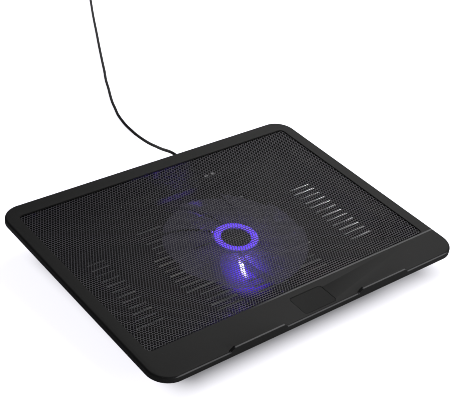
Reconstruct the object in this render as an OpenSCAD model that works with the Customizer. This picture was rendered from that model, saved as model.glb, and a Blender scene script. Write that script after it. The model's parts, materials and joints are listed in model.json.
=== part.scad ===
// Laptop cooling pad: a moulded frame and tray with a perforated rest panel,
// one large fan on a brushless motor, a flip-out rear stand and a free USB lead.
// The pad is drawn with its top face at z = 0, then set down on its front feet
// and its opened stand, so that z = 0 of the finished part is the table.

/* [Body] */
// Width of the pad, side to side
pad_w = 337; // [310:1:410]
// Depth of the pad, front to back
pad_d = 258; // [215:1:310]
// Height from the underside of the tray to the top face
pad_h = 21; // [20.5:0.25:26]
// Corner radius seen from above
corner_r = 20; // [15:1:28]
// Rounding of the frame's top edge
edge_r = 2; // [1:0.25:2.5]
// Height of the frame's outer skirt
skirt_h = 5.5; // [5:0.25:7]
// Thickness of the frame's top
frame_t = 2.3; // [2:0.1:3]
// Thickness of the moulded walls
wall = 2; // [1.6:0.1:2.4]

/* [Rest panel] */
// Width of the frame beside the opening
side_bezel = 12.5; // [10:0.5:18]
// Width of the frame behind the opening
back_bezel = 16; // [14:0.5:24]
// Depth of the ledge in front of the opening
front_ledge = 34.5; // [28:0.5:42]
// Corner radius of the opening
opening_r = 5; // [3:0.5:10]
// Thickness of the perforated sheet
mesh_t = 0.4; // [0.4:0.1:1]
// Thickness of the frame's lip over the sheet
lip_t = 0.9; // [0.6:0.1:1.3]
// How far the sheet reaches under the lip
mesh_lap = 3; // [2:0.5:4]

/* [Front edge] */
// Length of a laptop stop at its foot
stop_w = 61; // [40:1:70]
// Length of a laptop stop along its top
stop_top_w = 51; // [30:1:56]
// Height of the laptop stops above the frame
stop_h = 3.8; // [2:0.2:6]
// Thickness of the laptop stops
stop_t = 2.6; // [2:0.2:4]
// Distance between the centres of the two stops
stop_pitch = 141; // [120:1:180]
// Width of the badge plate
badge_w = 35.4; // [20:0.5:50]
// Depth of the badge plate
badge_d = 22.4; // [12:0.5:24]
// Thickness of the badge plate
badge_t = 0.7; // [0.5:0.1:0.9]
// Distance from the front edge to the middle of the badge
badge_inset = 15; // [13.5:0.5:20]

/* [Fan] */
// Radius over the tips of the blades
rotor_r = 67; // [50:1:72]
// Outer radius of the hub
hub_r = 21.5; // [20:0.5:24]
// Number of blades
blade_count = 9; // [5:1:11]
// Height of the blades along the shaft
blade_h = 8.6; // [5:0.2:8.8]
// Angle that each blade covers, seen from above
blade_sweep = 34; // [20:1:36]
// Thickness of a blade
blade_t = 1.3; // [1:0.1:2]
// Distance of the fan behind the middle of the pad
fan_y = -8; // [-14:1:6]
// Gap between the panel and the hub
hub_gap = 1.3; // [0.8:0.1:2]
// Radius of the motor shaft
shaft_r = 1.5; // [1.2:0.1:2]
// Directions of the light emitters on the circuit board, from +X
led_angles = [-112, 8, 100]; // [-180:1:180]

/* [Vents] */
// Spacing of the floor slots, front to back
slot_pitch = 8.25; // [7:0.25:12]
// Width of a floor slot
slot_w = 3.4; // [1.5:0.1:4]
// Length of the slots near the sides
side_slot_l = 28; // [16:1:30]

/* [Side grips] */
// Depth of the underside grips, from the edge of the pad
grip_depth = 28; // [20:1:30]
// Front end of the grips
grip_front = -58; // [-70:1:-50]
// Back end of the grips
grip_back = 84; // [60:1:88]

/* [Stand and feet] */
// Width of the stand's hinge bar
stand_w = 128; // [90:2:140]
// Width of the stand's foot
tab_w = 44; // [30:2:60]
// Distance from the hinge to the end of the stand's foot
stand_l = 22; // [16:0.5:24]
// Thickness of the stand
stand_t = 5; // [4:0.25:6]
// Sideways place of the stand
stand_x = 15; // [0:1:20]
// Distance from the hinge to the back of the pad
stand_inset = 38.5; // [36:0.5:46]
// Forward lean of the opened stand
stand_lean = 8; // [4:1:12]
// Radius of the rubber feet
foot_r = 6; // [5:0.5:8]
// Height of the rubber feet
foot_h = 3; // [2:0.25:4]

/* [Lead] */
// Sideways place of the lead's outlet
exit_x = 41; // [30:1:60]
// Diameter of the outer lead
cord_d = 3.2; // [3:0.1:3.6]
// Diameter of the lead inside the tray
lead_d = 2.2; // [1.8:0.1:2.2]

/* [Hidden] */
$fn = 48;
cut = 0.5;            // overshoot of every cutting shape
snug = 0.3;           // clearance round inserts
press_gap = 0.05;     // radial clearance of a part that turns on a pin

// frame, panel and tray
open_w = pad_w - 2 * side_bezel;
open_d = pad_d - front_ledge - back_bezel;
open_y = (front_ledge - back_bezel) / 2;
mesh_z = -lip_t - mesh_t;
tray_inset = wall + snug;
tray_w = pad_w - 2 * tray_inset;
tray_d = pad_d - 2 * tray_inset;
tray_r = corner_r - tray_inset;
shelf_t = 1.8;
shelf_z = -skirt_h + shelf_t;
floor_z = -pad_h + wall;
basin_step = 10;
basin_w = tray_w - 2 * basin_step;
basin_r = 12;
grip_r = 12;
grip_reach = 60;
grip_x = pad_w / 2 - grip_depth;
ramp_l = 30;
ramp_angle = atan((pad_h - skirt_h) / ramp_l);
inner_w = tray_w - 2 * wall;
inner_d = tray_d - 2 * wall;

// screws that hold the tray to the frame
post_z = -8;
post_r = 3.4;
boss_r = 4;
screw_r = 1.25;
head_r = 2.8;
head_h = 1.6;
seat_t = 1.8;
screw_len = 5.9;
post_x = basin_w / 2 - basin_r - post_r;
post_front = -inner_d / 2 + 14.5;
post_back = inner_d / 2 - boss_r;
post_spots = [for (x = [-post_x, 0, post_x], y = [post_front, post_back]) [x, y]];

// badge recess
badge_gap = 0.3;
badge_r = 3;
badge_y = -pad_d / 2 + badge_inset;
badge_drop = 0.1;

// fan stack, from the tray floor up
base_t = 1.2;
pcb_t = 0.8;
pcb_z = floor_z + base_t;
pcb_top = pcb_z + pcb_t;
hub_top = mesh_z - hub_gap;
cap_t = 0.5;
cap_r = 14;
cap_drop = 1.2;
hub_wall = 1.2;
hub_web = 0.7;
hub_bottom = pcb_top + 2.4;
blade_top = hub_top - 0.6;
yoke_t = 0.8;
yoke_r = hub_r - hub_wall;
yoke_top = hub_top - cap_drop - cap_t - hub_web;
yoke_bottom = pcb_top + 1;
magnet_t = 1.7;
magnet_r = yoke_r - yoke_t;
air_gap = 0.7;
core_r = magnet_r - magnet_t - air_gap;
core_t = 3.6;
core_z = pcb_top + 3.2;
arm_w = 3.6;
pole_count = 4;
coil_in = 7.2;
coil_out = core_r - 2.4;
coil_t = 1.2;
boss_hub_r = 3.6;
boss_hub_l = 1.8;
sleeve_r = 3;
tube_r = 4.4;
tube_top = yoke_top - boss_hub_l - 0.4;
thrust_t = 0.4;
thrust_top = floor_z + base_t + thrust_t;
shaft_end = thrust_top + 0.05;
washer_t = 0.3;
washer_z = shaft_end + 0.9;
washer_r = sleeve_r - 0.4;
sleeve_z = washer_z + washer_t + 0.2;
base_r = hub_r + 5.5;
ear_r = 3.2;
ear_pcd = base_r + 4;
ear_h = base_t + 2.2;
ear_angles = [90, 210, 330];
fan_screw_r = 1.1;
fan_head_r = 2;
fan_head_h = 1;
led_r = base_r - 2.6;
led_w = 2.8;
led_l = 3.4;
led_h = 1.5;
tail_angle = 68;
tail_l = 7;
tail_w = 7;

// stand, hinge and feet
stand_y = pad_d / 2 - stand_inset;
stand_clear = 0.5;
stand_z = -pad_h + stand_t / 2 + snug;
bar_l = 8.5;
pin_r = 1.25;
pin_l = 8;
pin_grip = 5;
jaw_t = 3.5;
jaw_wall = 3;
pad_tip = stand_t / 2;
pad_grip = pad_tip;
leg_end = stand_l - pad_tip - pad_grip;
tongue_t = 1.6;
tongue_l = 2;
tongue_w = tab_w - 6;
roof_t = 1.5;
roof_z = stand_z + stand_t / 2 + stand_clear;
pocket_front = stand_y - stand_t / 2 - 0.7;
scoop_w = 18;
scoop_l = 5;
front_foot_y = -tray_d / 2 + ramp_l + 8.5;
front_foot_x = basin_w / 2 - 16;
rear_foot_y = pad_d / 2 - 21;
foot_dome = 1.5 * foot_r;
dome_z = -pad_h - foot_h + foot_dome;
vent_r = 1.6;
vent_y = stand_y + 11;
vent_out = 2.2;

// how the pad stands: the front feet's domes and the stand's tip both touch z = 0
tip_y = stand_y - (stand_l - pad_tip) * sin(stand_lean);
tip_z = stand_z - (stand_l - pad_tip) * cos(stand_lean);
span = tip_y - front_foot_y;
drop = dome_z - tip_z;
tilt = asin((foot_dome - pad_tip) / -norm([span, drop])) + atan2(drop, span);
lift = foot_dome - front_foot_y * sin(tilt) - dome_z * cos(tilt);
back_reach = pad_d / 2 * cos(tilt) + skirt_h * sin(tilt);
front_reach = (pad_d / 2 - edge_r) * cos(tilt) - edge_r * sin(tilt) + edge_r;
setback = (front_reach - back_reach) / 2;

// clamp that holds the lead down on the pocket's roof
clamp_x = 46;
clamp_y = stand_y + 2;
clamp_w = 13;
clamp_d = 5;
clamp_t = 1.4;
clamp_reach = 4.2;
clamp_post_r = 2;
clamp_post_h = lead_d + 0.1;
clamp_top = roof_z + roof_t + clamp_post_h + clamp_t;
clamp_screw_r = 0.8;
clamp_screw_l = clamp_t + clamp_post_h + 0.6;
clamp_head_r = 1.7;
clamp_head_h = 0.9;
clamp_spots = [for (x = [-1, 1]) [clamp_x + x * clamp_reach, clamp_y]];

// lead inside the tray, in the pad's own frame
relief_in = 3;
relief_l = 15;
relief_r = 3.1;
flange_r = 4.6;
flange_t = 1.4;
exit_z = -13;
lead_r = lead_d / 2;
lead_start = [for (a = [tail_angle]) [(base_r + 2) * cos(a), fan_y + (base_r + 2) * sin(a)]][0];
lead_low = floor_z + lead_r + 0.1;
lead_high = roof_z + roof_t + lead_r;
lead_bend = [49, stand_y - 21];
lead_run = lead_bend - lead_start;
function on_lead(t, z) = [lead_start.x + t * lead_run.x, lead_start.y + t * lead_run.y, z];
lead_route = [
    on_lead(0, pcb_top + lead_r),
    on_lead(0.12, pcb_top + lead_r),
    on_lead(0.3, lead_low + 0.5),
    on_lead(0.5, lead_low),
    on_lead(0.8, lead_low),
    on_lead(1, lead_low + 0.3),
    [51, stand_y - 14, lead_low + 1.6],
    [49, stand_y - 7, lead_high],
    [clamp_x, stand_y - 1, lead_high],
    [clamp_x, clamp_y + clamp_d, lead_high],
    [exit_x + 1.5, stand_y + 17, lead_high],
    [exit_x, inner_d / 2 - relief_in - 3, exit_z],
    [exit_x, inner_d / 2 - flange_t, exit_z]];
clip_spots = [0.52, 0.78];
clip_wall = 0.9;
clip_gap = 0.3;
clip_foot = 2;
clip_l = 4;

// free lead on the table: rests at its own radius once it is down
cord_r = cord_d / 2;
cord_route = [
    [41, 138, 31.4], [41, 145, 31.8], [42, 153, 30.4], [44, 162, 27.2], [47, 172, 23],
    [50, 182, 19], [54, 196, 14], [57, 211, 9.6], [61, 232, 5], [64, 250, 2.6],
    [66, 262, 1.8], [68, 275, 1.6], [71, 288, 1.6], [75, 302, 1.6], [81, 317, 1.6],
    [87, 332, 1.6], [94, 347, 1.6], [104, 367, 1.6], [114, 388, 1.6], [127, 412, 1.6],
    [140, 437, 1.6], [161, 477, 1.6], [185, 522, 1.6], [212, 573, 1.6], [242, 628, 1.6],
    [257, 656, 1.8], [265, 671, 3], [272, 684, 4]];
plug_bite = 1.5;      // how far the lead reaches into its plug
plug_h = 8;
plug_w = 15.4;
plug_l = 24;
plug_relief_l = 12;
shell_w = 12;
shell_h = 4.5;
shell_l = 12;
shell_t = 0.35;
cord_end = cord_route[len(cord_route) - 1];
cord_before = cord_route[len(cord_route) - 2];
plug_turn = atan2(cord_end.y - cord_before.y, cord_end.x - cord_before.x);

// ---- shared shapes ----

// rectangle with true round corners, centred
module round_rect(w, d, r) {
    square([w - 2 * r, d], center = true);
    square([w, d - 2 * r], center = true);
    for (x = [-1, 1], y = [-1, 1])
        translate([x * (w / 2 - r), y * (d / 2 - r)]) circle(r);
}

// plate between two heights
module slab(z0, z1) {
    translate([0, 0, z0]) linear_extrude(z1 - z0) children();
}

// half of a plate's section: half width w, height h, top edge rounded by r
module edge_profile(w, h, r) {
    square([w - r, h]);
    square([w, h - r]);
    translate([w - r, h - r]) circle(r);
}

// plate with round corners and a rounded top edge, top at z = 0
module rounded_plate(w, d, h, r, e) {
    translate([0, 0, -h]) {
        for (x = [-1, 1], y = [-1, 1])
            translate([x * (w / 2 - r), y * (d / 2 - r)])
                rotate_extrude() edge_profile(r, h, e);
        rotate([90, 0, 0]) linear_extrude(d - 2 * r, center = true)
            for (m = [0, 1]) mirror([m, 0]) edge_profile(w / 2, h, e);
        rotate([90, 0, 90]) linear_extrude(w - 2 * r, center = true)
            for (m = [0, 1]) mirror([m, 0]) edge_profile(d / 2, h, e);
    }
}

// sets the pad on the table
module posed() {
    translate([0, setback, lift]) rotate([tilt, 0, 0]) children();
}

// places a shape on the fan's axis
module at_fan(z = 0) {
    translate([0, fan_y, z]) children();
}

// places the opened stand: its own frame has the hinge along X and the foot towards -Z
module at_stand() {
    translate([stand_x, stand_y, stand_z]) rotate([-stand_lean, 0, 0]) children();
}

// places the plug on the end of the lead, pointing along +X
module at_plug(along) {
    translate(cord_end) rotate([0, 0, plug_turn])
        translate([along - plug_bite, 0, 0]) children();
}

// smooth curve through a list of points, and a tube along it
function bend(a, b, c, d, t) =
    0.5 * (2 * b + (c - a) * t + (2 * a - 5 * b + 4 * c - d) * t * t
    + (3 * b - a - 3 * c + d) * t * t * t);
function smooth(p, steps) = [
    for (i = [0 : len(p) - 2], k = [0 : steps - 1])
        bend(p[max(i - 1, 0)], p[i], p[i + 1], p[min(i + 2, len(p) - 1)], k / steps),
    p[len(p) - 1]];
function unit(v) = v / norm(v);
function heading(p, i) = unit(p[min(i + 1, len(p) - 1)] - p[max(i - 1, 0)]);
function ring(p, i, r, sides) =
    let (t = heading(p, i), s = unit(cross(t, [0, 0, 1])), u = cross(s, t))
    [for (k = [0 : sides - 1]) p[i] + r * (cos(360 * k / sides) * s + sin(360 * k / sides) * u)];
module tube(route, r, steps, sides = 8) {
    p = smooth(route, steps);
    last = (len(p) - 1) * sides;
    polyhedron(
        points = [for (i = [0 : len(p) - 1]) each ring(p, i, r, sides)],
        faces = [
            [for (k = [0 : sides - 1]) k],
            for (i = [0 : len(p) - 2], k = [0 : sides - 1])
                let (a = i * sides, n = (k + 1) % sides)
                [a + k, a + sides + k, a + sides + n, a + n],
            [for (k = [sides - 1 : -1 : 0]) last + k]]);
}

// ---- frame and panel ----

module stop_profile() {
    polygon([[-stop_w / 2, -frame_t], [stop_w / 2, -frame_t], [stop_w / 2, 0],
             [stop_top_w / 2, stop_h], [-stop_top_w / 2, stop_h], [-stop_w / 2, 0]]);
}

// the opening, or the panel that reaches past it
module panel_outline(grow) {
    round_rect(open_w + 2 * grow, open_d + 2 * grow, opening_r + grow);
}

module laptop_stops() {
    for (x = [-1, 1])
        translate([x * stop_pitch / 2, -pad_d / 2 + stop_t, 0])
            rotate([90, 0, 0]) linear_extrude(stop_t) stop_profile();
}

module top_frame() posed() color([0.17, 0.17, 0.18]) {
    difference() {
        union() {
            difference() {
                rounded_plate(pad_w, pad_d, skirt_h, corner_r, edge_r);
                slab(-skirt_h - cut, -frame_t)
                    round_rect(pad_w - 2 * wall, pad_d - 2 * wall, corner_r - wall);
            }
            laptop_stops();
            for (s = post_spots) translate([s.x, s.y, post_z])
                cylinder(r = post_r, h = -frame_t - post_z);
        }
        slab(-frame_t - cut, cut) translate([0, open_y]) panel_outline(0);
        slab(-frame_t - cut, -lip_t) translate([0, open_y]) panel_outline(mesh_lap + snug);
        slab(-badge_t - badge_drop, cut)
            translate([0, badge_y])
                round_rect(badge_w + 2 * badge_gap, badge_d + 2 * badge_gap, badge_r);
        for (s = post_spots) translate([s.x, s.y, post_z - cut])
            cylinder(r = screw_r, h = screw_len - seat_t + cut);
    }
}

module mesh_panel() posed() color([0.2, 0.2, 0.22])
    slab(mesh_z, -lip_t) translate([0, open_y]) panel_outline(mesh_lap);

module badge_plate() posed() color([0.12, 0.12, 0.13])
    slab(-badge_t - badge_drop, -badge_drop)
        translate([0, badge_y]) round_rect(badge_w, badge_d, badge_r - badge_gap);

// ---- tray ----

module tray_outline(inset) {
    round_rect(tray_w - 2 * inset, tray_d - 2 * inset, tray_r - inset);
}

// deep part of the tray, narrowed at the side grips
module basin_outline(inset) {
    difference() {
        round_rect(basin_w - 2 * inset, tray_d - 2 * inset, basin_r - inset);
        for (x = [-1, 1])
            translate([x * (grip_x + grip_reach / 2), (grip_front + grip_back) / 2])
                round_rect(grip_reach + 2 * inset, grip_back - grip_front + 2 * inset,
                           grip_r + inset);
    }
}

// everything below the sloping front of the tray, raised by rise
module below_ramp(rise) {
    translate([0, -tray_d / 2, -skirt_h + rise]) rotate([-ramp_angle, 0, 0])
        translate([-pad_w, -20, -60]) cube([2 * pad_w, 20 + 2 * ramp_l, 60]);
}

module tray_shell() {
    difference() {
        union() {
            slab(-skirt_h, -frame_t) tray_outline(0);
            difference() {
                slab(-pad_h, shelf_z) basin_outline(0);
                below_ramp(0);
            }
        }
        slab(shelf_z, cut) tray_outline(wall);
        difference() {
            slab(floor_z, cut) basin_outline(wall);
            below_ramp(wall / cos(ramp_angle));
        }
    }
}

// pocket that the stand folds into, seen from above
module pocket_outline(grow) {
    translate([stand_x, 0]) {
        translate([-stand_w / 2 - stand_clear - grow, pocket_front - grow])
            square([stand_w + 2 * (stand_clear + grow),
                    stand_y + bar_l + stand_clear - pocket_front + 2 * grow]);
        translate([-tab_w / 2 - stand_clear - grow, pocket_front])
            square([tab_w + 2 * (stand_clear + grow),
                    stand_y + stand_l + stand_clear - pocket_front + grow]);
        translate([-scoop_w / 2 - grow, pocket_front])
            square([scoop_w + 2 * grow,
                    stand_y + stand_l + scoop_l - pocket_front + grow]);
    }
}

// vents in the floor, in rows that line up with the fan
module floor_slots() {
    side_x = grip_x - wall - snug - side_slot_l / 2 - 2;
    for (row = [-5 : 6], x = [-1, 1])
        translate([x * side_x, fan_y + row * slot_pitch])
            square([side_slot_l, slot_w], center = true);
    near = ear_pcd + ear_r;
    for (row = [-7 : 8], x = [-1, 1]) {
        far = abs(row) < 4 ? rotor_r + 6 : rotor_r - 3;
        translate([x * (near + far) / 2, fan_y + row * slot_pitch])
            square([far - near, slot_w], center = true);
    }
    for (row = [-7, -6, -5, 5, 6, 7])
        translate([0, fan_y + row * slot_pitch]) square([near, slot_w], center = true);
}

module jaw(x) {
    translate([x, stand_y - pin_r - jaw_wall, -pad_h])
        cube([jaw_t, 2 * (pin_r + jaw_wall), roof_z + roof_t + pad_h]);
}

module base_tray() posed() color([0.14, 0.14, 0.15]) {
    difference() {
        union() {
            tray_shell();
            for (s = post_spots) translate([s.x, s.y, -pad_h]) difference() {
                cylinder(r = boss_r, h = post_z + pad_h);
                translate([-s.x, -s.y, pad_h]) below_ramp(0);
            }
            slab(-pad_h, roof_z + roof_t) pocket_outline(roof_t);
            for (s = clamp_spots) translate([s.x, s.y, roof_z])
                cylinder(r = clamp_post_r, h = roof_t + clamp_post_h);
            jaw(stand_x - stand_w / 2 - stand_clear - jaw_t);
            jaw(stand_x + stand_w / 2 + stand_clear);
        }
        slab(-pad_h - cut, roof_z) pocket_outline(0);
        slab(-pad_h - cut, floor_z + cut) floor_slots();
        for (s = post_spots) translate([s.x, s.y, 0]) {
            translate([0, 0, -pad_h - cut]) cylinder(r = screw_r + snug, h = pad_h + cut);
            translate([0, 0, -pad_h - cut])
                cylinder(r = head_r + snug, h = pad_h + cut + post_z - seat_t);
        }
        translate([stand_x, stand_y, stand_z]) rotate([0, 90, 0])
            cylinder(r = pin_r, h = stand_w + 2 * (stand_clear + jaw_t + cut), center = true);
        translate([exit_x, tray_d / 2 - wall - cut, exit_z]) rotate([-90, 0, 0])
            cylinder(r = relief_r, h = wall + 2 * cut);
        for (a = ear_angles) at_fan(-pad_h - cut)
            rotate([0, 0, a]) translate([ear_pcd, 0, 0]) {
                cylinder(r = fan_screw_r + snug, h = wall + 2 * cut);
                cylinder(r = fan_head_r + snug, h = fan_head_h + cut);
            }
        for (s = clamp_spots) translate([s.x, s.y, clamp_top - clamp_screw_l])
            cylinder(r = clamp_screw_r, h = clamp_screw_l);
        for (x = [-1, 1])
            translate([stand_x + x * (stand_w / 2 + vent_out), vent_y, -pad_h - cut])
                cylinder(r = vent_r, h = wall + 2 * cut);
    }
}

// a pan-head screw pointing up, its head below z = 0
module screw(r, l, hr, hh) {
    cylinder(r = r, h = l);
    translate([0, 0, -hh]) difference() {
        cylinder(r = hr, h = hh);
        for (a = [0, 90]) rotate([0, 0, a])
            translate([-0.6 * hr, -0.12 * hr, -cut]) cube([1.2 * hr, 0.24 * hr, cut + hh / 2]);
    }
}

module case_screws() posed() color([0.55, 0.55, 0.58])
    for (s = post_spots) translate([s.x, s.y, post_z - seat_t])
        screw(screw_r, screw_len - snug, head_r, head_h);

module foot(x, y) {
    translate([x, y, 0]) intersection() {
        translate([0, 0, -pad_h - foot_h]) cylinder(r = foot_r, h = foot_h);
        translate([0, 0, dome_z]) sphere(r = foot_dome);
    }
}

module front_feet() posed() color([0.1, 0.1, 0.1])
    for (x = [-1, 1]) foot(x * front_foot_x, front_foot_y);

module rear_feet() posed() color([0.1, 0.1, 0.1])
    for (x = [-1, 1]) foot(x * front_foot_x, rear_foot_y);

// ---- stand ----

module hinge_pins() posed() color([0.7, 0.7, 0.72])
    for (x = [-1, 1])
        translate([stand_x + x * (stand_w / 2 + stand_clear + jaw_t - pin_l / 2 - 0.2),
                   stand_y, stand_z])
            rotate([0, 90, 0]) cylinder(r = pin_r, h = pin_l, center = true);

module stand_leg() posed() at_stand() color([0.15, 0.15, 0.16]) {
    difference() {
        union() {
            rotate([0, 90, 0]) cylinder(r = stand_t / 2, h = stand_w, center = true);
            translate([-stand_w / 2, -stand_t / 2, -bar_l]) cube([stand_w, stand_t, bar_l]);
            translate([-tab_w / 2, -stand_t / 2, -leg_end]) cube([tab_w, stand_t, leg_end]);
        }
        for (x = [-1, 1]) translate([x * stand_w / 2, 0, 0]) rotate([0, 90, 0])
            cylinder(r = pin_r + press_gap, h = 2 * pin_grip, center = true);
        translate([-tongue_w / 2, -tongue_t / 2, -leg_end - cut])
            cube([tongue_w, tongue_t, tongue_l + cut]);
    }
}

module stand_pad() posed() at_stand() color([0.08, 0.08, 0.08]) {
    tip = stand_l - pad_tip;
    translate([-tab_w / 2, -stand_t / 2, -tip]) cube([tab_w, stand_t, tip - leg_end]);
    translate([0, 0, -tip]) rotate([0, 90, 0]) cylinder(r = pad_tip, h = tab_w, center = true);
    translate([-tongue_w / 2, -tongue_t / 2, -leg_end - cut])
        cube([tongue_w, tongue_t, tongue_l + cut]);
}

// ---- fan, fixed half ----

module tail_outline(w) {
    rotate([0, 0, tail_angle]) translate([0, -w / 2]) square([base_r + tail_l, w]);
}

module fan_mount() posed() color([0.13, 0.13, 0.14]) at_fan() {
    difference() {
        union() {
            slab(floor_z, pcb_z) {
                circle(base_r);
                tail_outline(tail_w + 1);
                for (a = ear_angles) rotate([0, 0, a])
                    translate([0, -ear_r]) square([ear_pcd, 2 * ear_r]);
            }
            for (a = ear_angles) rotate([0, 0, a])
                translate([ear_pcd, 0, floor_z]) cylinder(r = ear_r, h = ear_h);
            slab(floor_z, tube_top) circle(tube_r);
        }
        slab(pcb_z, tube_top + cut) circle(sleeve_r);
        for (a = ear_angles) rotate([0, 0, a])
            translate([ear_pcd, 0, floor_z - cut]) cylinder(r = fan_screw_r, h = ear_h - 0.6 + cut);
    }
}

module fan_screws() posed() color([0.6, 0.6, 0.62]) at_fan(-pad_h + fan_head_h)
    for (a = ear_angles) rotate([0, 0, a]) translate([ear_pcd, 0, 0])
        screw(fan_screw_r, wall - fan_head_h + ear_h - 0.8, fan_head_r, fan_head_h - 0.1);

module fan_pcb() posed() color([0.1, 0.3, 0.18]) at_fan()
    slab(pcb_z, pcb_top) difference() {
        union() {
            circle(base_r - 0.5);
            tail_outline(tail_w);
        }
        circle(tube_r + 0.1);
    }

module light_emitters() posed() color([0.75, 0.8, 1]) at_fan(pcb_top)
    for (a = led_angles) rotate([0, 0, a])
        translate([led_r - led_w / 2, -led_l / 2, 0]) cube([led_w, led_l, led_h]);

module stator_core() posed() color([0.62, 0.62, 0.64]) at_fan()
    slab(core_z, core_z + core_t) difference() {
        union() {
            circle(coil_in - 0.6);
            for (k = [0 : pole_count - 1]) rotate([0, 0, 360 * k / pole_count]) {
                translate([0, -arm_w / 2]) square([core_r - 1, arm_w]);
                intersection() {
                    difference() {
                        circle(core_r);
                        circle(core_r - 1.8);
                    }
                    translate([0, -9]) square([core_r + 1, 18]);
                }
            }
        }
        circle(tube_r);
    }

module stator_coils() posed() color([0.72, 0.4, 0.2]) at_fan()
    for (k = [0 : pole_count - 1]) rotate([0, 0, 360 * k / pole_count])
        difference() {
            translate([coil_in, -arm_w / 2 - coil_t, core_z - coil_t])
                cube([coil_out - coil_in, arm_w + 2 * coil_t, core_t + 2 * coil_t]);
            translate([coil_in - cut, -arm_w / 2, core_z])
                cube([coil_out - coil_in + 2 * cut, arm_w, core_t]);
        }

module bearing_sleeve() posed() color([0.75, 0.6, 0.3]) at_fan()
    slab(sleeve_z, tube_top - 0.2) difference() {
        circle(sleeve_r);
        circle(shaft_r + 0.03);
    }

module thrust_pad() posed() color([0.85, 0.85, 0.8]) at_fan()
    slab(pcb_z, thrust_top) circle(sleeve_r);

// ---- fan, turning half ----

// curved radial line that one blade grows from
module blade_outline() {
    bow = rotor_r * 1.1;
    bow_angle = 38;
    intersection() {
        translate([bow * cos(bow_angle), -bow * sin(bow_angle)]) difference() {
            circle(bow + blade_t / 2);
            circle(bow - blade_t / 2);
        }
        difference() {
            circle(rotor_r);
            circle(hub_r - 0.6);
        }
        translate([-rotor_r, 0]) square([2 * rotor_r, rotor_r]);
    }
}

module fan_rotor() posed() color([0.3, 0.3, 0.36, 0.6]) at_fan() {
    rotate_extrude() difference() {
        translate([0, hub_bottom]) square([hub_r, hub_top - hub_bottom]);
        translate([0, hub_bottom - cut]) square([yoke_r, yoke_top - hub_bottom + cut]);
        translate([0, hub_top - cap_drop - cap_t])
            square([cap_r + 0.1, cap_t + cap_drop + cut]);
    }
    difference() {
        translate([0, 0, yoke_top - boss_hub_l]) cylinder(r = boss_hub_r, h = boss_hub_l);
        translate([0, 0, yoke_top - boss_hub_l - cut]) cylinder(r = shaft_r, h = boss_hub_l + cut);
    }
    for (k = [0 : blade_count - 1]) rotate([0, 0, 360 * k / blade_count])
        translate([0, 0, blade_top - blade_h])
            linear_extrude(blade_h, twist = -blade_sweep, slices = 6, $fn = 40) blade_outline();
}

module hub_cap() posed() color([0.08, 0.08, 0.09]) at_fan()
    slab(hub_top - cap_drop - cap_t, hub_top - cap_drop - 0.05) circle(cap_r);

module rotor_yoke() posed() color([0.6, 0.6, 0.62]) at_fan()
    rotate_extrude() difference() {
        translate([boss_hub_r, yoke_bottom]) square([yoke_r - boss_hub_r, yoke_top - yoke_bottom]);
        translate([0, yoke_bottom - cut])
            square([yoke_r - yoke_t, yoke_top - yoke_t - yoke_bottom + cut]);
    }

module rotor_magnet() posed() color([0.25, 0.23, 0.22]) at_fan()
    slab(yoke_bottom + 0.3, yoke_top - yoke_t - 0.3) difference() {
        circle(magnet_r);
        circle(magnet_r - magnet_t);
    }

module fan_shaft() posed() color([0.8, 0.8, 0.82]) at_fan(shaft_end)
    cylinder(r = shaft_r, h = yoke_top - shaft_end);

module retaining_washer() posed() color([0.9, 0.9, 0.88]) at_fan()
    slab(washer_z, washer_z + washer_t) difference() {
        circle(washer_r);
        circle(shaft_r);
    }

// ---- lead ----

module inner_lead() posed() color([0.07, 0.07, 0.07]) tube(lead_route, lead_r, 3);

module lead_clips() posed() color([0.6, 0.6, 0.58])
    for (t = clip_spots) translate(on_lead(t, floor_z))
        rotate([0, 0, atan2(lead_run.y, lead_run.x)])
        difference() {
            translate([-clip_l / 2, -lead_r - clip_wall - clip_foot, 0])
                cube([clip_l, 2 * (lead_r + clip_wall + clip_foot),
                      lead_d + clip_gap + clip_wall]);
            translate([-clip_l / 2 - cut, -lead_r - clip_gap, -cut])
                cube([clip_l + 2 * cut, lead_d + 2 * clip_gap, lead_d + clip_gap + cut]);
        }

module lead_clamp() posed() color([0.12, 0.12, 0.12])
    slab(clamp_top - clamp_t, clamp_top) difference() {
        translate([clamp_x, clamp_y]) round_rect(clamp_w, clamp_d, 1.5);
        for (s = clamp_spots) translate(s) circle(clamp_screw_r + press_gap);
    }

module clamp_screws() posed() color([0.75, 0.75, 0.77])
    for (s = clamp_spots) translate([s.x, s.y, clamp_top]) rotate([180, 0, 0])
        screw(clamp_screw_r, clamp_screw_l, clamp_head_r, clamp_head_h);

module strain_relief() posed() color([0.09, 0.09, 0.09])
    translate([exit_x, tray_d / 2 - wall, exit_z]) rotate([-90, 0, 0]) {
        translate([0, 0, -flange_t]) cylinder(r = flange_r, h = flange_t);
        cylinder(r = relief_r, h = wall);
        translate([0, 0, wall]) cylinder(r1 = relief_r, r2 = cord_r + 0.5, h = relief_l - wall);
    }

module usb_cord() color([0.06, 0.06, 0.06]) tube(cord_route, cord_r, 3);

module plug_relief() color([0.07, 0.07, 0.07]) at_plug(0) rotate([0, 90, 0])
    cylinder(r1 = cord_r + 0.4, r2 = plug_h / 2 - 0.6, h = plug_relief_l);

module plug_body() color([0.08, 0.08, 0.08]) at_plug(plug_relief_l) rotate([90, 0, 90])
    linear_extrude(plug_l) round_rect(plug_w, plug_h, 2);

module plug_shell() color([0.75, 0.75, 0.76]) at_plug(plug_relief_l + plug_l) rotate([90, 0, 90])
    difference() {
        linear_extrude(shell_l) square([shell_w, shell_h], center = true);
        translate([0, 0, shell_t]) linear_extrude(shell_l)
            square([shell_w - 2 * shell_t, shell_h - 2 * shell_t], center = true);
    }

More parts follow.
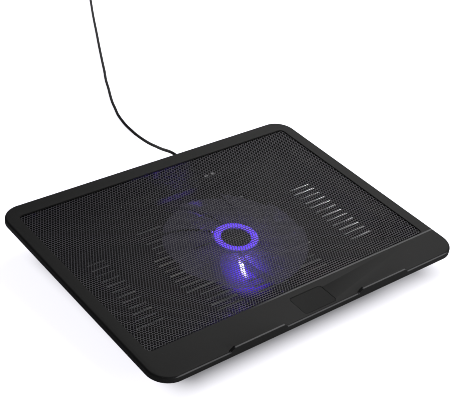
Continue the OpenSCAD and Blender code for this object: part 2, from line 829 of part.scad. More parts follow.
module plug_tongue() color([0.95, 0.95, 0.95])
    at_plug(plug_relief_l + plug_l + shell_t) rotate([90, 0, 90])
        translate([0, -shell_h / 4 + shell_t / 2, 0]) linear_extrude(shell_l - shell_t - 0.6)
            square([shell_w - 2 * shell_t, shell_h / 2 - shell_t], center = true);

top_frame();
mesh_panel();
badge_plate();
base_tray();
case_screws();
front_feet();
rear_feet();
hinge_pins();
stand_leg();
stand_pad();
fan_mount();
fan_screws();
fan_pcb();
light_emitters();
stator_core();
stator_coils();
bearing_sleeve();
thrust_pad();
fan_rotor();
hub_cap();
rotor_yoke();
rotor_magnet();
fan_shaft();
retaining_washer();
inner_lead();
lead_clips();
lead_clamp();
clamp_screws();
strain_relief();
usb_cord();
plug_relief();
plug_body();
plug_shell();
plug_tongue();
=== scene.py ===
# Looks of the laptop cooling pad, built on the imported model.
import json
import math
import bmesh
import bpy
from mathutils import Matrix, Vector


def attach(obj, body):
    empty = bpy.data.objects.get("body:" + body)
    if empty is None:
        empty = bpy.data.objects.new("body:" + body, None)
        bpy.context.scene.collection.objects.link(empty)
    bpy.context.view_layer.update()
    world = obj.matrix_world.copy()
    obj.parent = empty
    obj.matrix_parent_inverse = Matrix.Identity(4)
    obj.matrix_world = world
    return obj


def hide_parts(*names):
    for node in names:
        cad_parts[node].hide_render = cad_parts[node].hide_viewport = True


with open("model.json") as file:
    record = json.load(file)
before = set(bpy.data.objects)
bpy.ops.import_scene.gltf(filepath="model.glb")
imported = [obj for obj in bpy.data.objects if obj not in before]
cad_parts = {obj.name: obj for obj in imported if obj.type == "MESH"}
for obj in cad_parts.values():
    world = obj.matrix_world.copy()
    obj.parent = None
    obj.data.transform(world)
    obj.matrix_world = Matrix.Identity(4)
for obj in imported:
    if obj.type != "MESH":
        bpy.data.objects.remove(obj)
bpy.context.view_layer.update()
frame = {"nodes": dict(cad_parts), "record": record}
nodes = frame["nodes"]
mm = 0.001
scene = bpy.context.scene
print("model loaded:", len(nodes), "nodes")

# the pad leans on its stand: its own frame is in mm, z = 0 on the top face, y towards the back
fanY = -8  # the fan's axis, which meets the tray floor at floorZ
floorZ = -19
emitterAngles = (-112, 8, 100)  # round the fan's axis: front, right, back
opening = {"front": -94.5, "back": 113, "side": 156}  # edges of the frame's opening
bodyPoint = Vector((0, fanY, floorZ)) * mm
spin = next(j for j in frame["record"]["behaviour"]["joints"] if j["name"] == "fan_spin")
padTurn = Matrix.Rotation(math.atan2(-spin["axis"][1], spin["axis"][2]), 4, "X")
padPlace = Matrix.Translation(Vector(spin["pos_m"]) - padTurn @ bodyPoint) @ padTurn


def padPoint(x, y, z):
    return padPlace @ (Vector((x, y, z)) * mm)


# camera
cameraValues = {"place": (-543.43, -596.59, 593.35), "heading": 41.9038, "down": 34.8323,
                "roll": 7.1151, "lens": 86.5646}


def makeCamera(values):
    heading, down, roll = (math.radians(values[k]) for k in ("heading", "down", "roll"))
    look = Vector((math.sin(heading) * math.cos(down), math.cos(heading) * math.cos(down),
                   -math.sin(down)))
    level = Vector((math.cos(heading), -math.sin(heading), 0))
    right = level * math.cos(roll) + level.cross(look) * math.sin(roll)
    turn = Matrix((right, right.cross(look), -look)).transposed().to_4x4()
    data = bpy.data.cameras.new("camera")
    data.lens, data.sensor_width = values["lens"], 36
    data.clip_start, data.clip_end = 0.05, 50
    camera = bpy.data.objects.new("camera", data)
    scene.collection.objects.link(camera)
    camera.matrix_world = padPlace @ Matrix.Translation(Vector(values["place"]) * mm) @ turn
    scene.camera = camera


makeCamera(cameraValues)


# material tools
class Wire:  # a value that runs through a material, so that shader maths reads as sums
    def __init__(self, finish, socket):
        self.finish, self.socket = finish, socket

    def calc(self, operation, *values):
        return self.finish.node("ShaderNodeMath", {"operation": operation},
                                dict(enumerate(values)))

    def __add__(self, other): return self.calc("ADD", self, other)
    def __radd__(self, other): return self.calc("ADD", other, self)
    def __sub__(self, other): return self.calc("SUBTRACT", self, other)
    def __rsub__(self, other): return self.calc("SUBTRACT", other, self)
    def __mul__(self, other): return self.calc("MULTIPLY", self, other)
    def __rmul__(self, other): return self.calc("MULTIPLY", other, self)
    def __pow__(self, other): return self.calc("POWER", self, other)
    def size(self): return self.calc("ABSOLUTE", self)
    def sine(self): return self.calc("SINE", self)
    def root(self): return self.calc("SQRT", self)
    def most(self, other): return self.calc("MAXIMUM", self, other)

    def fade(self, low, high):  # 0 below low, 1 above high, smooth between
        return self.finish.node("ShaderNodeMapRange", {"interpolation_type": "SMOOTHSTEP"},
                                {"Value": self, "From Min": low, "From Max": high})

    def over(self, limits):  # the same between two places in mm
        return self.fade(*(limit * mm for limit in limits))


class Finish:
    def __init__(self, name):
        self.material = bpy.data.materials.new(name)
        self.material.use_nodes = True
        self.tree = self.material.node_tree
        self.tree.nodes.clear()
        self.end = self.tree.nodes.new("ShaderNodeOutputMaterial")

    def node(self, kind, settings=None, inputs=None, output=0):
        made = self.tree.nodes.new(kind)
        for key, value in (settings or {}).items():
            setattr(made, key, value)
        for key, value in (inputs or {}).items():
            if isinstance(value, Wire):
                self.tree.links.new(value.socket, made.inputs[key])
            else:
                made.inputs[key].default_value = value
        return Wire(self, made.outputs[output])

    def place(self, centre=(0, 0, 0), turn=0, scale=(1, 1, 1)):
        own = self.node("ShaderNodeTexCoord", output="Object")
        return self.node("ShaderNodeMapping", {"vector_type": "TEXTURE"},
                         {"Vector": own, "Location": centre, "Rotation": (turn, 0, 0),
                          "Scale": scale})

    def onPad(self):  # the pad's own frame, in metres
        return self.place(tuple(padPlace.translation), padTurn.to_euler().x)

    def apart(self, vector):
        split = self.node("ShaderNodeSeparateXYZ", None, {0: vector})
        outs = split.socket.node.outputs
        return [Wire(self, outs[k]) for k in range(3)]

    def noise(self, scale, detail=3, where=None, roughness=0.5):
        return self.node("ShaderNodeTexNoise", None,
                         {"Vector": where or self.place(), "Scale": scale, "Detail": detail,
                          "Roughness": roughness})

    def mix(self, factor, a, b):
        wide = lambda c: c if isinstance(c, Wire) else (*c, 1)
        return self.node("ShaderNodeMix", {"data_type": "RGBA"},
                         {"Factor": factor, 6: wide(a), 7: wide(b)}, output=2)

    def bump(self, height, depth):
        return self.node("ShaderNodeBump", None,
                         {"Height": height, "Strength": 1, "Distance": depth})

    def close(self, shader):
        self.tree.links.new(shader.socket, self.end.inputs["Surface"])
        return self.material

    def shade(self, **inputs):
        named = {key.replace("_", " "): (*value, 1) if isinstance(value, tuple) else value
                 for key, value in inputs.items()}
        return self.node("ShaderNodeBsdfPrincipled", None, named)


def fromAxis(finish):  # distance from the fan's axis
    x, y, z = finish.apart(finish.onPad())
    return (x * x + (y - fanY * mm) * (y - fanY * mm)).root()


poolValues = {"angle": emitterAngles[0], "middle": 30, "reach": 34, "squash": 0.7, "falloff": 1.6,
              "colour": (0.1, 0.03, 1.0), "streakWidth": (0.8, 2.8), "streakStart": (17, 20),
              "streakEnd": (30, 42), "streakColour": (0.75, 0.7, 1.0), "streakGain": 3,
              "underside": (-20.5, -19.7)}


def lampPool(finish, strength):  # light that the front emitter throws on what is round it
    values = poolValues
    turn = math.radians(values["angle"])
    x, y, z = finish.apart(finish.onPad())
    y = y - fanY * mm
    along = x * math.cos(turn) + y * math.sin(turn)
    across = y * math.cos(turn) - x * math.sin(turn)
    width, start = across.size().over(values["streakWidth"]), along.over(values["streakStart"])
    end, inside = along.over(values["streakEnd"]), z.over(values["underside"])
    ahead = along - values["middle"] * mm
    far = (ahead * ahead * values["squash"] + across * across).root()
    pool = (1 - far.over((0, values["reach"]))) ** values["falloff"] * inside
    streak = (1 - width) * start * (1 - end) * inside
    spread = finish.mix(pool, (0, 0, 0), tuple(c * strength for c in values["colour"]))
    bright = strength * values["streakGain"]
    return finish.mix(streak, spread, tuple(c * bright for c in values["streakColour"]))


# places and colour of the painted edge highlights
edgeHighlightValues = {"colour": (0.3, 0.3, 0.31), "sill": opening["front"] - 1, "sillWidth": (0.5, 1.2),
              "sillFoot": (-1.6, -0.8), "sillStart": (-60, -10), "front": -128.5,
              "frontWidth": (0.3, 0.9), "frontFoot": (-1.2, -0.6), "frontTop": (0.4, 0.8),
              "stopMiddle": 70.5, "stopHalf": (29, 30.5), "stopTop": (3.1, 3.6)}


def paintedEdgeHighlights(finish):  # painted highlights: lighter colour along the opening's front sill, the front edge and the stops' tops
    values = edgeHighlightValues
    x, y, z = finish.apart(finish.onPad())
    sill = 1 - (y - values["sill"] * mm).size().over(values["sillWidth"])
    sill = sill * z.over(values["sillFoot"]) * x.over(values["sillStart"])
    brink = 1 - (y - values["front"] * mm).size().over(values["frontWidth"])
    offStop = (x.size() - values["stopMiddle"] * mm).size().over(values["stopHalf"])
    low = z.over(values["frontFoot"]) * (1 - z.over(values["frontTop"])) * offStop
    return sill.most(brink * low.most(z.over(values["stopTop"])))


def makeMoulded(name, colour, grain=2600, rough=0.55, depth=0.00003, worn=0.25, pool=0,
                highlightAmount=0, shine=0.28):
    finish = Finish(name)
    lit = {"Emission_Color": lampPool(finish, pool), "Emission_Strength": 1.0} if pool else {}
    fine = finish.noise(grain, 2)
    cloud = finish.noise(14, 4, roughness=0.6)
    dust = finish.noise(420, 2).fade(0.68, 0.8)
    shade = finish.mix(cloud.fade(0.3, 0.7) * worn, colour, tuple(c * 1.45 + 0.002 for c in colour))
    shade = finish.mix(dust * 0.12, shade, (0.12, 0.12, 0.13))
    if highlightAmount:
        # painted highlights along the edges, lighter colour where light would catch them
        shade = finish.mix(paintedEdgeHighlights(finish) * highlightAmount, shade, edgeHighlightValues["colour"])
    return finish.close(finish.shade(
        Base_Color=shade, Roughness=rough + 0.1 * (cloud - 0.5) + 0.08 * (fine - 0.5),
        Specular_IOR_Level=shine, Normal=finish.bump(fine, depth), **lit))


def makeMetal(name, colour, rough=0.3, stretch=(1, 1, 1), grain=900, depth=0.00001):
    finish = Finish(name)
    streak = finish.noise(grain, 3, finish.place(scale=stretch))
    spots = finish.noise(90, 3)
    shade = finish.mix(spots.fade(0.35, 0.75) * 0.35, colour, tuple(c * 0.62 for c in colour))
    return finish.close(finish.shade(Base_Color=shade, Metallic=1.0,
                                     Roughness=rough + 0.22 * (streak - 0.5),
                                     Normal=finish.bump(streak, depth)))


def makeRubber(name, colour, grain=1500, rough=0.75):
    finish = Finish(name)
    fine = finish.noise(grain, 3)
    scuff = finish.noise(60, 4).fade(0.5, 0.8)
    shade = finish.mix(scuff * 0.35, colour, tuple(c * 1.8 + 0.006 for c in colour))
    return finish.close(finish.shade(Base_Color=shade, Roughness=rough + 0.12 * (scuff - 0.5),
                                     Specular_IOR_Level=0.3, Normal=finish.bump(fine, 0.00004)))


# mesh tools
def onPart(shape):  # from the pad's frame in mm to the model's frame in metres
    bmesh.ops.scale(shape, vec=(mm, mm, mm), verts=shape.verts)
    bmesh.ops.transform(shape, matrix=padPlace, verts=shape.verts)


def onlyVerts(geometry):
    return [v for v in geometry if isinstance(v, bmesh.types.BMVert)]


def addPiece(name, mesh, material, body, replaced):
    made = bpy.data.objects.new(name, mesh)
    scene.collection.objects.link(made)
    made.data.materials.append(material)
    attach(made, body)
    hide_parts(*replaced)
    return made


def meshFrom(shape, name, angle=None):
    mesh = bpy.data.meshes.new(name)
    shape.to_mesh(mesh)
    shape.free()
    mesh.polygons.foreach_set("use_smooth", [angle is not None] * len(mesh.polygons))
    if angle is not None:
        mesh.set_sharp_from_angle(angle=math.radians(angle))
    return mesh


def spun(points, steps):
    shape = bmesh.new()
    line = [shape.verts.new(p) for p in points]
    edges = [shape.edges.new(pair) for pair in zip(line, line[1:])]
    bmesh.ops.spin(shape, geom=line + edges, cent=(0, 0, 0), axis=(0, 0, 1), angle=math.tau,
                   steps=steps, use_merge=True)
    bmesh.ops.remove_doubles(shape, verts=shape.verts, dist=1e-6)
    bmesh.ops.recalc_face_normals(shape, faces=shape.faces)
    return shape


def softened(node, name, material, body, width, limit=35):
    shape = bmesh.new()
    shape.from_mesh(nodes[node].data)
    bmesh.ops.remove_doubles(shape, verts=shape.verts, dist=2e-6)
    bmesh.ops.dissolve_limit(shape, angle_limit=math.radians(0.5), verts=shape.verts,
                             edges=shape.edges)
    made = addPiece(name, meshFrom(shape, name, angle=30), material, body, [node])
    bevel = made.modifiers.new("edges", "BEVEL")
    bevel.width, bevel.segments, bevel.limit_method = width * mm, 2, "ANGLE"
    bevel.angle_limit = math.radians(limit)
    bevel.harden_normals = True
    bevel.use_clamp_overlap = True


# lead
leadValues = {"diameter": 3.2, "length": 0.60, "colour": (0.012, 0.012, 0.013)}
leadRoute = [
    (41, 138, 31.4), (41, 145, 31.8), (42, 153, 30.4), (44, 162, 27.2), (47, 172, 23),
    (50, 182, 19), (54, 196, 14), (57, 211, 9.6), (61, 232, 5), (64, 250, 2.6),
    (66, 262, 1.8), (68, 275, 1.6), (71, 288, 1.6), (75, 302, 1.6), (81, 317, 1.6),
    (87, 332, 1.6), (94, 347, 1.6), (104, 367, 1.6), (114, 388, 1.6), (127, 412, 1.6),
    (140, 437, 1.6), (161, 477, 1.6), (185, 522, 1.6), (212, 573, 1.6), (242, 628, 1.6),
    (257, 656, 1.8), (265, 671, 3), (272, 684, 4)]


def makeLead(values, route):
    curve = bpy.data.curves.new("usbLead", "CURVE")
    curve.dimensions = "3D"
    curve.resolution_u = 5
    curve.bevel_depth = values["diameter"] / 2 * mm
    curve.bevel_resolution = 3
    curve.use_fill_caps = True
    line = curve.splines.new("BEZIER")
    line.bezier_points.add(len(route) - 1)
    for point, place in zip(line.bezier_points, route):
        point.co = Vector(place) * mm
        point.handle_left_type = point.handle_right_type = "AUTO"
    made = bpy.data.objects.new("usbLead", curve)
    scene.collection.objects.link(made)
    finish = Finish("leadSheath")
    fine = finish.noise(1800, 2)
    haze = finish.noise(25, 3)
    made.data.materials.append(finish.close(finish.shade(
        Base_Color=finish.mix(haze.fade(0.35, 0.7) * 0.5, values["colour"], (0.022, 0.022, 0.024)),
        Roughness=0.42 + 0.16 * (haze - 0.5), Specular_IOR_Level=0.4,
        Normal=finish.bump(fine, 0.00003))))
    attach(made, "pad")
    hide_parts("usb_cord")
    return made


lead = makeLead(leadValues, leadRoute)
print("camera and lead made")

# finishes of the carried-over pieces
mouldedFrame = makeMoulded("mouldedFrame", (0.02, 0.02, 0.0203), rough=0.56, highlightAmount=0.8)
mouldedTray = makeMoulded("mouldedTray", (0.008, 0.008, 0.0085), rough=0.6, depth=0.00004,
                          pool=3.8, shine=0.08)
mouldedBase = makeMoulded("mouldedBase", (0.015, 0.015, 0.016), rough=0.5)
motorBase = makeMoulded("motorBase", (0.014, 0.014, 0.015), rough=0.5, pool=3)
badgePlastic = makeMoulded("badgePlastic", (0.011, 0.011, 0.0113), rough=0.6, depth=0.00001)
standPlastic = makeMoulded("standPlastic", (0.018, 0.018, 0.0185), rough=0.52)
feetRubber = makeRubber("feetRubber", (0.02, 0.02, 0.021))
zincScrew = makeMetal("zincScrew", (0.62, 0.62, 0.64), 0.32)
groundSteel = makeMetal("groundSteel", (0.72, 0.72, 0.74), 0.18, (1, 6, 6))
laminated = makeMetal("laminated", (0.5, 0.5, 0.52), 0.35, (1, 1, 0.05), 300, 0.00006)
drawnSteel = makeMetal("drawnSteel", (0.55, 0.55, 0.57), 0.3)
bronze = makeMetal("sinteredBronze", (0.62, 0.44, 0.2), 0.4)
nylon = makeMoulded("nylon", (0.72, 0.71, 0.66), rough=0.4, depth=0.00001)
magnetGrey = makeMoulded("magnetGrey", (0.05, 0.047, 0.045), rough=0.6)
clipPlastic = makeMoulded("clipPlastic", (0.03, 0.03, 0.031), rough=0.5)
plugPlastic = makeMoulded("plugPlastic", (0.014, 0.014, 0.015), rough=0.48)
plugSteel = makeMetal("plugSteel", (0.75, 0.75, 0.77), 0.2)
insulator = makeMoulded("insulator", (0.78, 0.78, 0.76), rough=0.35, depth=0.00001)


wireGauge = 0.34


def makeCoilWire():
    finish = Finish("coilWire")
    x, y, z = finish.apart(finish.onPad())
    turns = ((z * (math.tau / (wireGauge * mm))).sine() + 1) * 0.5
    shade = finish.mix(turns, (0.28, 0.1, 0.035), (0.72, 0.34, 0.14))
    return finish.close(finish.shade(Base_Color=shade, Metallic=0.9, Roughness=0.32,
                                     Coat_Weight=0.5, Normal=finish.bump(turns, 0.00008)))


trackPitch = 2.6


def makeBoard():
    finish = Finish("boardMask")
    rings = (fromAxis(finish) * (math.tau / (trackPitch * mm))).sine().fade(0.82, 0.9)
    tracks = finish.noise(160, 1).fade(0.49, 0.505) * rings
    shade = finish.mix(tracks, (0.012, 0.075, 0.04), (0.02, 0.14, 0.07))
    return finish.close(finish.shade(Base_Color=shade, Roughness=0.34, Coat_Weight=0.3,
                                     Emission_Color=lampPool(finish, 3), Emission_Strength=1.0,
                                     Normal=finish.bump(tracks, 0.00003)))


emitterValues = {"face": (23.5, 24.5), "strength": 26.0}


def makeEmitter(values):  # white body with a lit face that looks outwards
    finish = Finish("emitterLens")
    reach = fromAxis(finish)
    core = finish.noise(700, 1).fade(0.3, 0.7)
    face = reach.over(values["face"])
    return finish.close(finish.shade(
        Base_Color=finish.mix(face, (0.55, 0.55, 0.56), (0.8, 0.82, 0.95)), Roughness=0.25,
        Emission_Color=finish.mix(face * (0.8 + 0.2 * core), (0.02, 0.01, 0.1), (0.62, 0.55, 1.0)),
        Emission_Strength=values["strength"]))


materials = {
    "case_screws": zincScrew, "fan_screws": zincScrew, "clamp_screws": zincScrew,
    "front_feet": feetRubber, "rear_feet": feetRubber, "stand_pad": feetRubber,
    "hinge_pins": groundSteel, "fan_shaft": groundSteel, "fan_mount": motorBase,
    "fan_pcb": makeBoard(), "light_emitters": makeEmitter(emitterValues),
    "stator_core": laminated, "stator_coils": makeCoilWire(), "bearing_sleeve": bronze,
    "thrust_pad": nylon, "retaining_washer": nylon, "rotor_yoke": drawnSteel,
    "rotor_magnet": magnetGrey, "hub_cap": mouldedBase, "fan_rotor": mouldedBase,
    "lead_clamp": mouldedBase, "lead_clips": clipPlastic, "inner_lead": lead.data.materials[0],
    "strain_relief": plugPlastic, "plug_relief": plugPlastic, "plug_body": plugPlastic,
    "plug_shell": plugSteel, "plug_tongue": insulator, "top_frame": mouldedFrame,
    "base_tray": mouldedTray, "mesh_panel": mouldedTray, "stand_leg": standPlastic,
    "badge_plate": badgePlastic}
for name, material in materials.items():
    nodes[name].data.materials.clear()
    nodes[name].data.materials.append(material)
print("finishes made")

# softened plastic parts
softened("top_frame", "topFrame", mouldedFrame, "pad", 0.4)
softened("base_tray", "baseTray", mouldedTray, "pad", 0.25, limit=50)
softened("stand_leg", "standLeg", standPlastic, "stand", 0.4)
softened("badge_plate", "badgePlate", badgePlastic, "pad", 0.2)

# perforated panel
panelValues = {"pitch": 2.75, "hole": 1.22, "thickness": 0.4, "top": -0.9, "middleY": 9.25,
               "width": 318, "depth": 213.5, "strips": 4,
               "shadeFront": (1.2, 2.6), "shadeBack": (-2.2, -1), "shadeSide": (-0.8, 0.6)}


def makePanelPaint(values):
    finish = Finish("panelPaint")
    fine = finish.noise(2400, 2)
    cloud = finish.noise(20, 4)
    shade = finish.mix(cloud.fade(0.3, 0.7) * 0.6, (0.115, 0.111, 0.13), (0.14, 0.135, 0.157))
    x, y, z = finish.apart(finish.onPad())
    # painted shade: dark along the edges of the opening, where the sheet runs under the frame
    front = 1 - (y - opening["front"] * mm).over(values["shadeFront"])
    back = (y - opening["back"] * mm).over(values["shadeBack"])
    sides = (x.size() - opening["side"] * mm).over(values["shadeSide"])
    shade = finish.mix(front.most(back).most(sides), shade, (0.01, 0.01, 0.011))
    return finish.close(finish.shade(Base_Color=shade, Roughness=0.42 + 0.15 * (cloud - 0.5),
                                     Specular_IOR_Level=0.4, Normal=finish.bump(fine, 0.00002)))


def makeHoleShade():  # painted shade: the holes' walls are made near black, for the shade inside them
    finish = Finish("holeShade")
    fine = finish.noise(1700, 2)
    return finish.close(finish.shade(
        Base_Color=finish.mix(fine.fade(0.3, 0.7), (0.005, 0.005, 0.006), (0.01, 0.01, 0.012)),
        Roughness=0.6 + 0.2 * (fine - 0.5), Specular_IOR_Level=0.2))


def makePanel(values, material, holeShadeMaterial):
    pitch = values["pitch"]
    row = pitch * math.sqrt(3) / 2
    columns = math.ceil(values["width"] / pitch) + 2
    rows = math.ceil(values["depth"] / row) + 1
    startX, startY = -columns / 2 * pitch, values["middleY"] - (rows - 1) / 2 * row
    each = math.ceil(rows / values["strips"])
    for strip in range(values["strips"]):
        shape = bmesh.new()
        bmesh.ops.create_circle(shape, segments=6, radius=pitch / math.sqrt(3))
        bmesh.ops.create_circle(shape, segments=8, radius=values["hole"])
        bmesh.ops.bridge_loops(shape, edges=shape.edges[:])
        first = strip * each
        count = min(each, rows - first)
        cell = shape.verts[:] + shape.edges[:] + shape.faces[:]
        for k in range(1, columns):
            more = bmesh.ops.duplicate(shape, geom=cell)["geom"]
            bmesh.ops.translate(shape, vec=(k * pitch, 0, 0), verts=onlyVerts(more))
        line = shape.verts[:] + shape.edges[:] + shape.faces[:]
        for k in range(1, count):
            more = bmesh.ops.duplicate(shape, geom=line)["geom"]
            shift = ((first + k) % 2 - first % 2) * pitch / 2
            bmesh.ops.translate(shape, vec=(shift, k * row, 0), verts=onlyVerts(more))
        bmesh.ops.translate(shape, vec=(startX + first % 2 * pitch / 2, startY + first * row,
                                        values["top"]), verts=shape.verts)
        bmesh.ops.remove_doubles(shape, verts=shape.verts, dist=0.02)
        for x, y in ((1, 0), (-1, 0), (0, 1), (0, -1)):
            edge = Vector((x * values["width"] / 2,
                           values["middleY"] + y * values["depth"] / 2, 0))
            bmesh.ops.bisect_plane(shape, geom=shape.verts[:] + shape.edges[:] + shape.faces[:],
                                   dist=1e-4, plane_co=edge, plane_no=(x, y, 0), clear_outer=True)
        onPart(shape)
        bmesh.ops.recalc_face_normals(shape, faces=shape.faces)
        if sum(f.normal.z for f in shape.faces) < 0:
            bmesh.ops.reverse_faces(shape, faces=shape.faces)
        name = f"perforatedPanel.{strip + 1}"
        made = addPiece(name, meshFrom(shape, name), material, "pad", ["mesh_panel"])
        wall = made.modifiers.new("sheet", "SOLIDIFY")
        wall.thickness, wall.offset = values["thickness"] * mm, -1
        wall.use_even_offset = False
        # the holes' walls take the second slot: the painted shade
        wall.material_offset_rim = 1
        made.data.materials.append(holeShadeMaterial)


makePanel(panelValues, makePanelPaint(panelValues), makeHoleShade())
print("perforated panel made")

# fan rotor
rotorValues = {"radius": 66.8, "hub": 21.5, "count": 9, "sweep": 46, "top": -3.6, "bottom": -8.8,
               "thickness": 1.2, "inside": 1.5, "bow": 24, "bowPower": 1.35, "camber": 0.4,
               "trim": (0.06, 0.12), "trimPower": 6, "halo": (20, 50),
               "ringInner": (13.8, 14.6), "ringOuter": (19.5, 21.3)}


def makeSmoke(values):
    finish = Finish("smokedBlades")
    reach = fromAxis(finish)
    cloud = finish.noise(35, 3)
    halo = 1 - reach.over(values["halo"])
    # painted light: the blades glow faintly all over, and violet towards the hub, as if lit by the
    # emitters
    body = finish.shade(Base_Color=finish.mix(cloud, (0.02, 0.0195, 0.024), (0.03, 0.029, 0.035)),
                        Roughness=0.4 + 0.1 * (cloud - 0.5), Specular_IOR_Level=0.2,
                        Alpha=0.42 + 0.1 * halo,
                        Emission_Color=finish.mix(halo * 0.5, (0.04, 0.037, 0.055),
                                                  (0.04, 0.025, 0.14)),
                        Emission_Strength=1.0)
    through = finish.node("ShaderNodeBsdfTranslucent", None, {"Color": (0.3, 0.28, 0.42, 1)})
    return finish.close(finish.node("ShaderNodeMixShader", None, {0: 0.14, 1: body, 2: through}))


def makeHubSmoke(values):
    finish = Finish("smokedHub")
    reach = fromAxis(finish)
    cloud = finish.noise(120, 3)
    glow = reach.over(values["ringInner"]) * (1 - reach.over(values["ringOuter"]))
    lit = finish.mix(glow * (0.7 + 0.15 * cloud), (0.01, 0.008, 0.03), (0.085, 0.03, 0.66))
    return finish.close(finish.shade(
        Base_Color=finish.mix(cloud, (0.07, 0.066, 0.09), (0.1, 0.095, 0.125)), Roughness=0.35,
        Specular_IOR_Level=0.5, Alpha=0.72 + 0.28 * glow, Emission_Color=lit,
        Emission_Strength=3.2))


def makeRotor(values, material, hubMaterial):
    shape = bmesh.new()
    bmesh.ops.create_grid(shape, x_segments=14, y_segments=7, size=0.5)
    bend, tip = values["trim"]
    root = values["hub"] - values["inside"]  # the blades start inside the hub's wall
    length = values["radius"] - root
    for v in shape.verts:
        out, across = v.co.x + 0.5, v.co.y + 0.5
        reach = root + out * length
        trim = bend * math.sin(math.pi * out) + tip * out ** values["trimPower"] * across
        angle = math.radians(values["sweep"] * (across * (1 - trim))
                             + values["bow"] * out ** values["bowPower"])
        drop = across * (values["top"] - values["bottom"])
        v.co = (reach * math.cos(angle), reach * math.sin(angle),
                values["bottom"] + drop - values["camber"] * math.sin(math.pi * across))
    blade = shape.verts[:] + shape.edges[:] + shape.faces[:]
    for k in range(1, values["count"]):
        more = bmesh.ops.duplicate(shape, geom=blade)["geom"]
        bmesh.ops.rotate(shape, cent=(0, 0, 0),
                         matrix=Matrix.Rotation(math.tau * k / values["count"], 3, "Z"),
                         verts=onlyVerts(more))
    bmesh.ops.recalc_face_normals(shape, faces=shape.faces)
    bmesh.ops.solidify(shape, geom=shape.faces[:], thickness=values["thickness"])
    bmesh.ops.translate(shape, vec=(0, fanY, 0), verts=shape.verts)
    onPart(shape)
    addPiece("fanBlades", meshFrom(shape, "fanBlades", angle=40), material, "rotor",
             ["fan_rotor"])

    # section of the hub, as radius and height: bore, boss, skirt, rounded rim, sunk middle
    r = values["hub"]
    hub = spun([(1.5, 0, -6.8), (3.6, 0, -6.8), (3.6, 0, -5), (20.3, 0, -5), (20.3, 0, -14.6),
                (r, 0, -14.6), (r, 0, -3.7), (r - 0.35, 0, -2.95), (r - 1.2, 0, -2.6),
                (14.6, 0, -2.6), (14.2, 0, -2.9), (14.1, 0, -4.3), (1.5, 0, -4.3),
                (1.5, 0, -6.8)], 72)
    bmesh.ops.translate(hub, vec=(0, fanY, 0), verts=hub.verts)
    onPart(hub)
    addPiece("fanHub", meshFrom(hub, "fanHub", angle=40), hubMaterial, "rotor", ["fan_rotor"])


makeRotor(rotorValues, makeSmoke(rotorValues), makeHubSmoke(rotorValues))
print("rotor made")

# floor and light
stageValues = {"floor": (0.86, 0.86, 0.87), "white": (0.925, 0.918, 0.97), "under": 0.03,
               "underRight": 0.17, "rightFrom": (60, 100), "shadeX": (125, 160),
               "shadeY": (95, 130), "shadeMiddle": -10, "sky": 0.085, "filterWidth": 0.9,
               "key": 6.8, "keyPlace": (900, 500, 1150), "keySize": 900,
               "back": 7, "backPlace": (1900, 2100, 320), "backSize": (4200, 600),
               "front": 6, "frontPlace": (500, -1500, 480), "frontSize": 500,
               "target": (0, 0, 20), "backTarget": (0, 0, 250)}


def makeFloor(values):
    shape = bmesh.new()
    bmesh.ops.create_grid(shape, x_segments=1, y_segments=1, size=6)
    mesh = meshFrom(shape, "floor")
    made = bpy.data.objects.new("floor", mesh)
    scene.collection.objects.link(made)
    finish = Finish("floorPaper")
    x, y, z = finish.apart(finish.place())
    cloud = finish.noise(3, 2)
    # the paper glows for the camera only, and hardly under the pad
    offSide = x.size().over(values["shadeX"])
    offEnd = (y - values["shadeMiddle"] * mm).size().over(values["shadeY"])
    shaded = (1 - offSide) * (1 - offEnd)
    seen = finish.node("ShaderNodeLightPath", output="Is Camera Ray")
    dim = finish.mix(x.over(values["rightFrom"]),
                     *(tuple(c * values[k] for c in values["white"])
                       for k in ("under", "underRight")))
    white = finish.mix(shaded, values["white"], dim)
    sheet = finish.mix(cloud * 0.3, values["floor"], (0.88, 0.88, 0.89))
    paper = finish.shade(Base_Color=finish.mix(shaded * 0.7, sheet, (0.1, 0.1, 0.1)),
                         Roughness=0.9, Specular_IOR_Level=0.2)
    glow = finish.node("ShaderNodeEmission", None, {"Color": finish.mix(seen, (0, 0, 0), white)})
    made.data.materials.append(finish.close(finish.node("ShaderNodeAddShader", None,
                                                        {0: paper, 1: glow})))


def makeLight(name, kind, place, power, colour, **settings):
    data = bpy.data.lights.new(name, kind)
    data.energy, data.color = power, colour
    for key, value in settings.items():
        setattr(data, key, value)
    made = bpy.data.objects.new(name, data)
    scene.collection.objects.link(made)
    made.location = place
    return made


def aim(light, target):
    light.rotation_mode = "QUATERNION"
    light.rotation_quaternion = (target - light.location).to_track_quat("-Z", "Y")


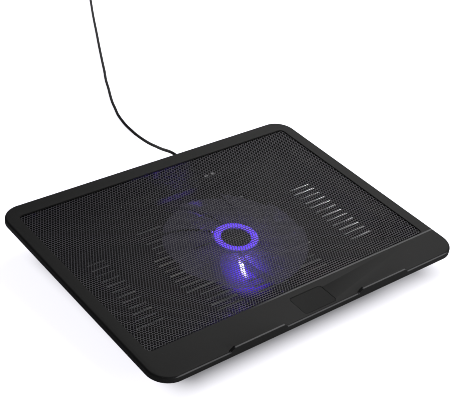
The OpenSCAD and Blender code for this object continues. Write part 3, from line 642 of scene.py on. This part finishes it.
def makeStage(values):
    makeFloor(values)
    world = bpy.data.worlds.new("studio")
    world.use_nodes = True
    sky = world.node_tree.nodes["Background"]
    sky.inputs["Color"].default_value = (0.95, 0.96, 1.0, 1)
    sky.inputs["Strength"].default_value = values["sky"]
    scene.world = world
    scene.view_settings.view_transform = "Standard"
    scene.cycles.filter_width = values["filterWidth"]
    target, backTarget = (Vector(values[k]) * mm for k in ("target", "backTarget"))
    key = makeLight("keyLight", "AREA", Vector(values["keyPlace"]) * mm, values["key"],
                    (1, 0.99, 0.97), size=values["keySize"] * mm)
    aim(key, target)
    long, high = (size * mm for size in values["backSize"])
    back = makeLight("backCard", "AREA", Vector(values["backPlace"]) * mm, values["back"],
                     (1, 1, 1), shape="RECTANGLE", size=long, size_y=high)
    aim(back, backTarget)
    front = makeLight("frontLight", "AREA", Vector(values["frontPlace"]) * mm, values["front"],
                      (1, 1, 1), size=values["frontSize"] * mm)
    aim(front, target)
    for light in (key, back, front):
        light.visible_camera = False


lampValues = {"power": (0.06, 0.05, 1.4), "cone": (150, 60, 42), "blend": 0.9, "size": 1.3,
              "colour": (0.2, 0.1, 1.0), "out": 26.5, "height": -15, "reach": 60,
              "rearTarget": (2, 86), "targetHeight": -15.6, "glow": 0.05, "glowOut": 25.5,
              "glowHeight": -14.4, "glowColour": (0.22, 0.12, 1.0)}


def fromFan(angle, out):
    return out * math.cos(angle), fanY + out * math.sin(angle)


def makeLamps(values):  # the three emitters' own light
    size = values["size"] * mm
    for angle, power, cone in zip(emitterAngles, values["power"], values["cone"]):
        turn = math.radians(angle)
        far = values["rearTarget"] if angle > 90 else fromFan(turn, values["reach"])
        place = padPoint(*fromFan(turn, values["out"]), values["height"])
        lamp = makeLight(f"emitter{angle}", "SPOT", place, power, values["colour"],
                         shadow_soft_size=size, spot_size=math.radians(cone),
                         spot_blend=values["blend"])
        aim(lamp, padPoint(*far, values["targetHeight"]))
    turn = math.radians(emitterAngles[0])
    place = padPoint(*fromFan(turn, values["glowOut"]), values["glowHeight"])
    makeLight("emitterGlow", "POINT", place, values["glow"], values["glowColour"],
              shadow_soft_size=size)


makeStage(stageValues)
makeLamps(lampValues)
print("stage made")
